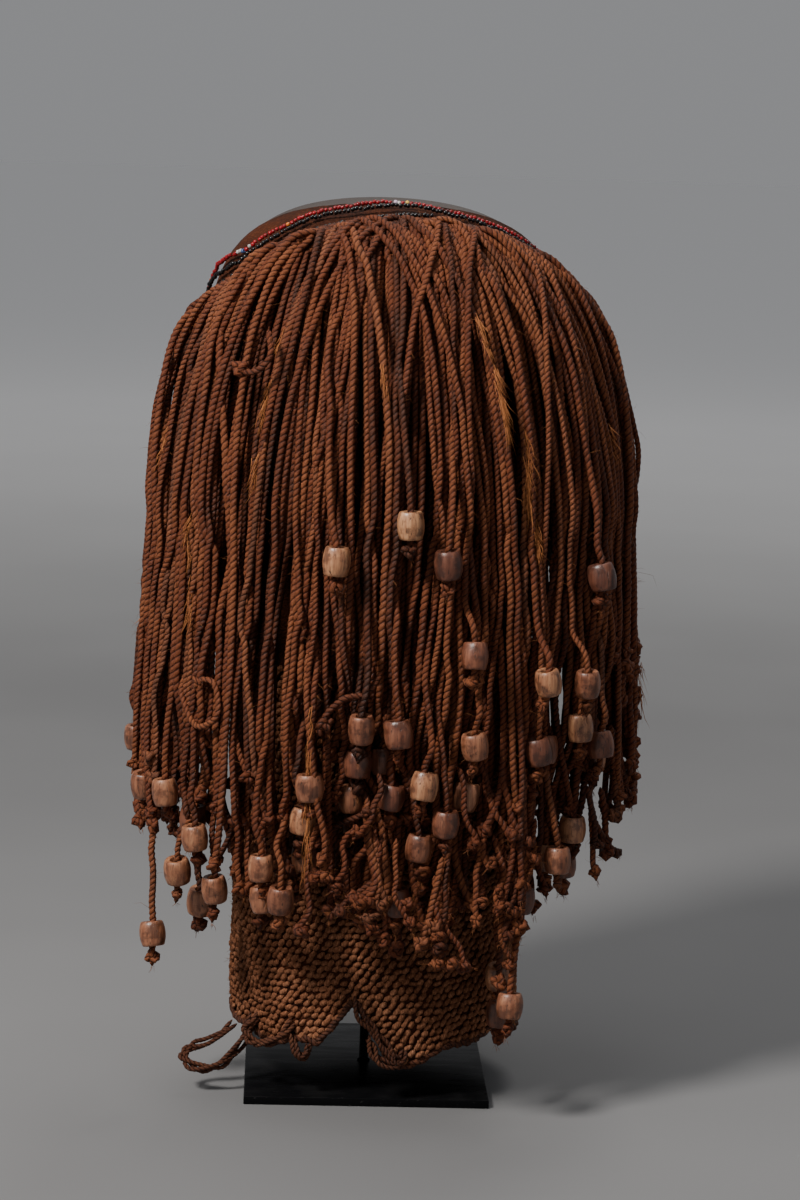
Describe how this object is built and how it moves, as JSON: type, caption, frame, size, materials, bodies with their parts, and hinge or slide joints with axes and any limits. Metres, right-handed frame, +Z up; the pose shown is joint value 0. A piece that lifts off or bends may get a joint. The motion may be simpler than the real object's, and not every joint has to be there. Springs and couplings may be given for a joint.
{
  "type": "pwo mask with fibre wig on a display stand",
  "caption": "Carved wooden face mask with a wig of twisted fibre cords and wooden beads, a netted neck hood and bead strings, held upright by a thin rod on a square plate.",
  "frame": {"origin": "centre of the stand plate's underside", "axes": "+Z up along the rod; the carved face looks along -Y and the wig hangs on the +Y side, with the picture taken from +Y; +X is the picture's left"},
  "size_m": [0.2718, 0.2309, 0.468],
  "materials": {
    "stand": "gloss black lacquer, clear soft reflections, a few dust specks",
    "stand_rod": "satin black lacquer",
    "carved_wood": "dark carved hardwood, worn satin patina, greyer on the crown",
    "netting": "matt knotless netting of plant-fibre cord, tan brown, dusty",
    "fibre_cord": "matt two-ply twisted plant-fibre cord, reddish brown with lighter frayed fibres",
    "wood_bead": "turned wooden beads, waxy satin, tan to mauve brown with dark pores",
    "red_glass": "small glossy glass beads, mostly red with a few white, yellow and orange",
    "black_glass": "small glossy black glass beads"
  },
  "bodies": {
    "root": {"stand_plate": "stand", "stand_rod": "stand_rod", "mask_face": "carved_wood", "netted_hood": "netting", "netted_collar": "netting", "wig_cords": "fibre_cord", "wig_fringe": "fibre_cord", "bead_string_red": "red_glass", "bead_string_black_front": "black_glass", "bead_string_black_back": "black_glass", "wood_bead_01": "wood_bead", "wood_bead_02": "wood_bead", "wood_bead_03": "wood_bead", "wood_bead_04": "wood_bead", "wood_bead_05": "wood_bead", "wood_bead_06": "wood_bead", "wood_bead_07": "wood_bead", "wood_bead_08": "wood_bead", "wood_bead_09": "wood_bead", "wood_bead_10": "wood_bead", "wood_bead_11": "wood_bead", "wood_bead_12": "wood_bead", "wood_bead_13": "wood_bead", "wood_bead_14": "wood_bead", "wood_bead_15": "wood_bead", "wood_bead_16": "wood_bead", "wood_bead_17": "wood_bead", "wood_bead_18": "wood_bead", "wood_bead_19": "wood_bead", "wood_bead_20": "wood_bead", "wood_bead_21": "wood_bead", "wood_bead_22": "wood_bead", "wood_bead_23": "wood_bead", "wood_bead_24": "wood_bead", "wood_bead_25": "wood_bead", "wood_bead_26": "wood_bead", "wood_bead_27": "wood_bead", "wood_bead_28": "wood_bead", "wood_bead_29": "wood_bead", "wood_bead_30": "wood_bead", "wood_bead_31": "wood_bead", "wood_bead_32": "wood_bead", "wood_bead_33": "wood_bead", "wood_bead_34": "wood_bead", "wood_bead_35": "wood_bead", "wood_bead_36": "wood_bead", "wood_bead_37": "wood_bead", "wood_bead_38": "wood_bead", "wood_bead_39": "wood_bead", "wood_bead_40": "wood_bead", "wood_bead_41": "wood_bead", "wood_bead_42": "wood_bead", "wood_bead_43": "wood_bead", "wood_bead_44": "wood_bead", "wood_bead_45": "wood_bead", "wood_bead_46": "wood_bead", "wood_bead_47": "wood_bead", "wood_bead_48": "wood_bead", "wood_bead_49": "wood_bead"}
  },
  "joints": []
}
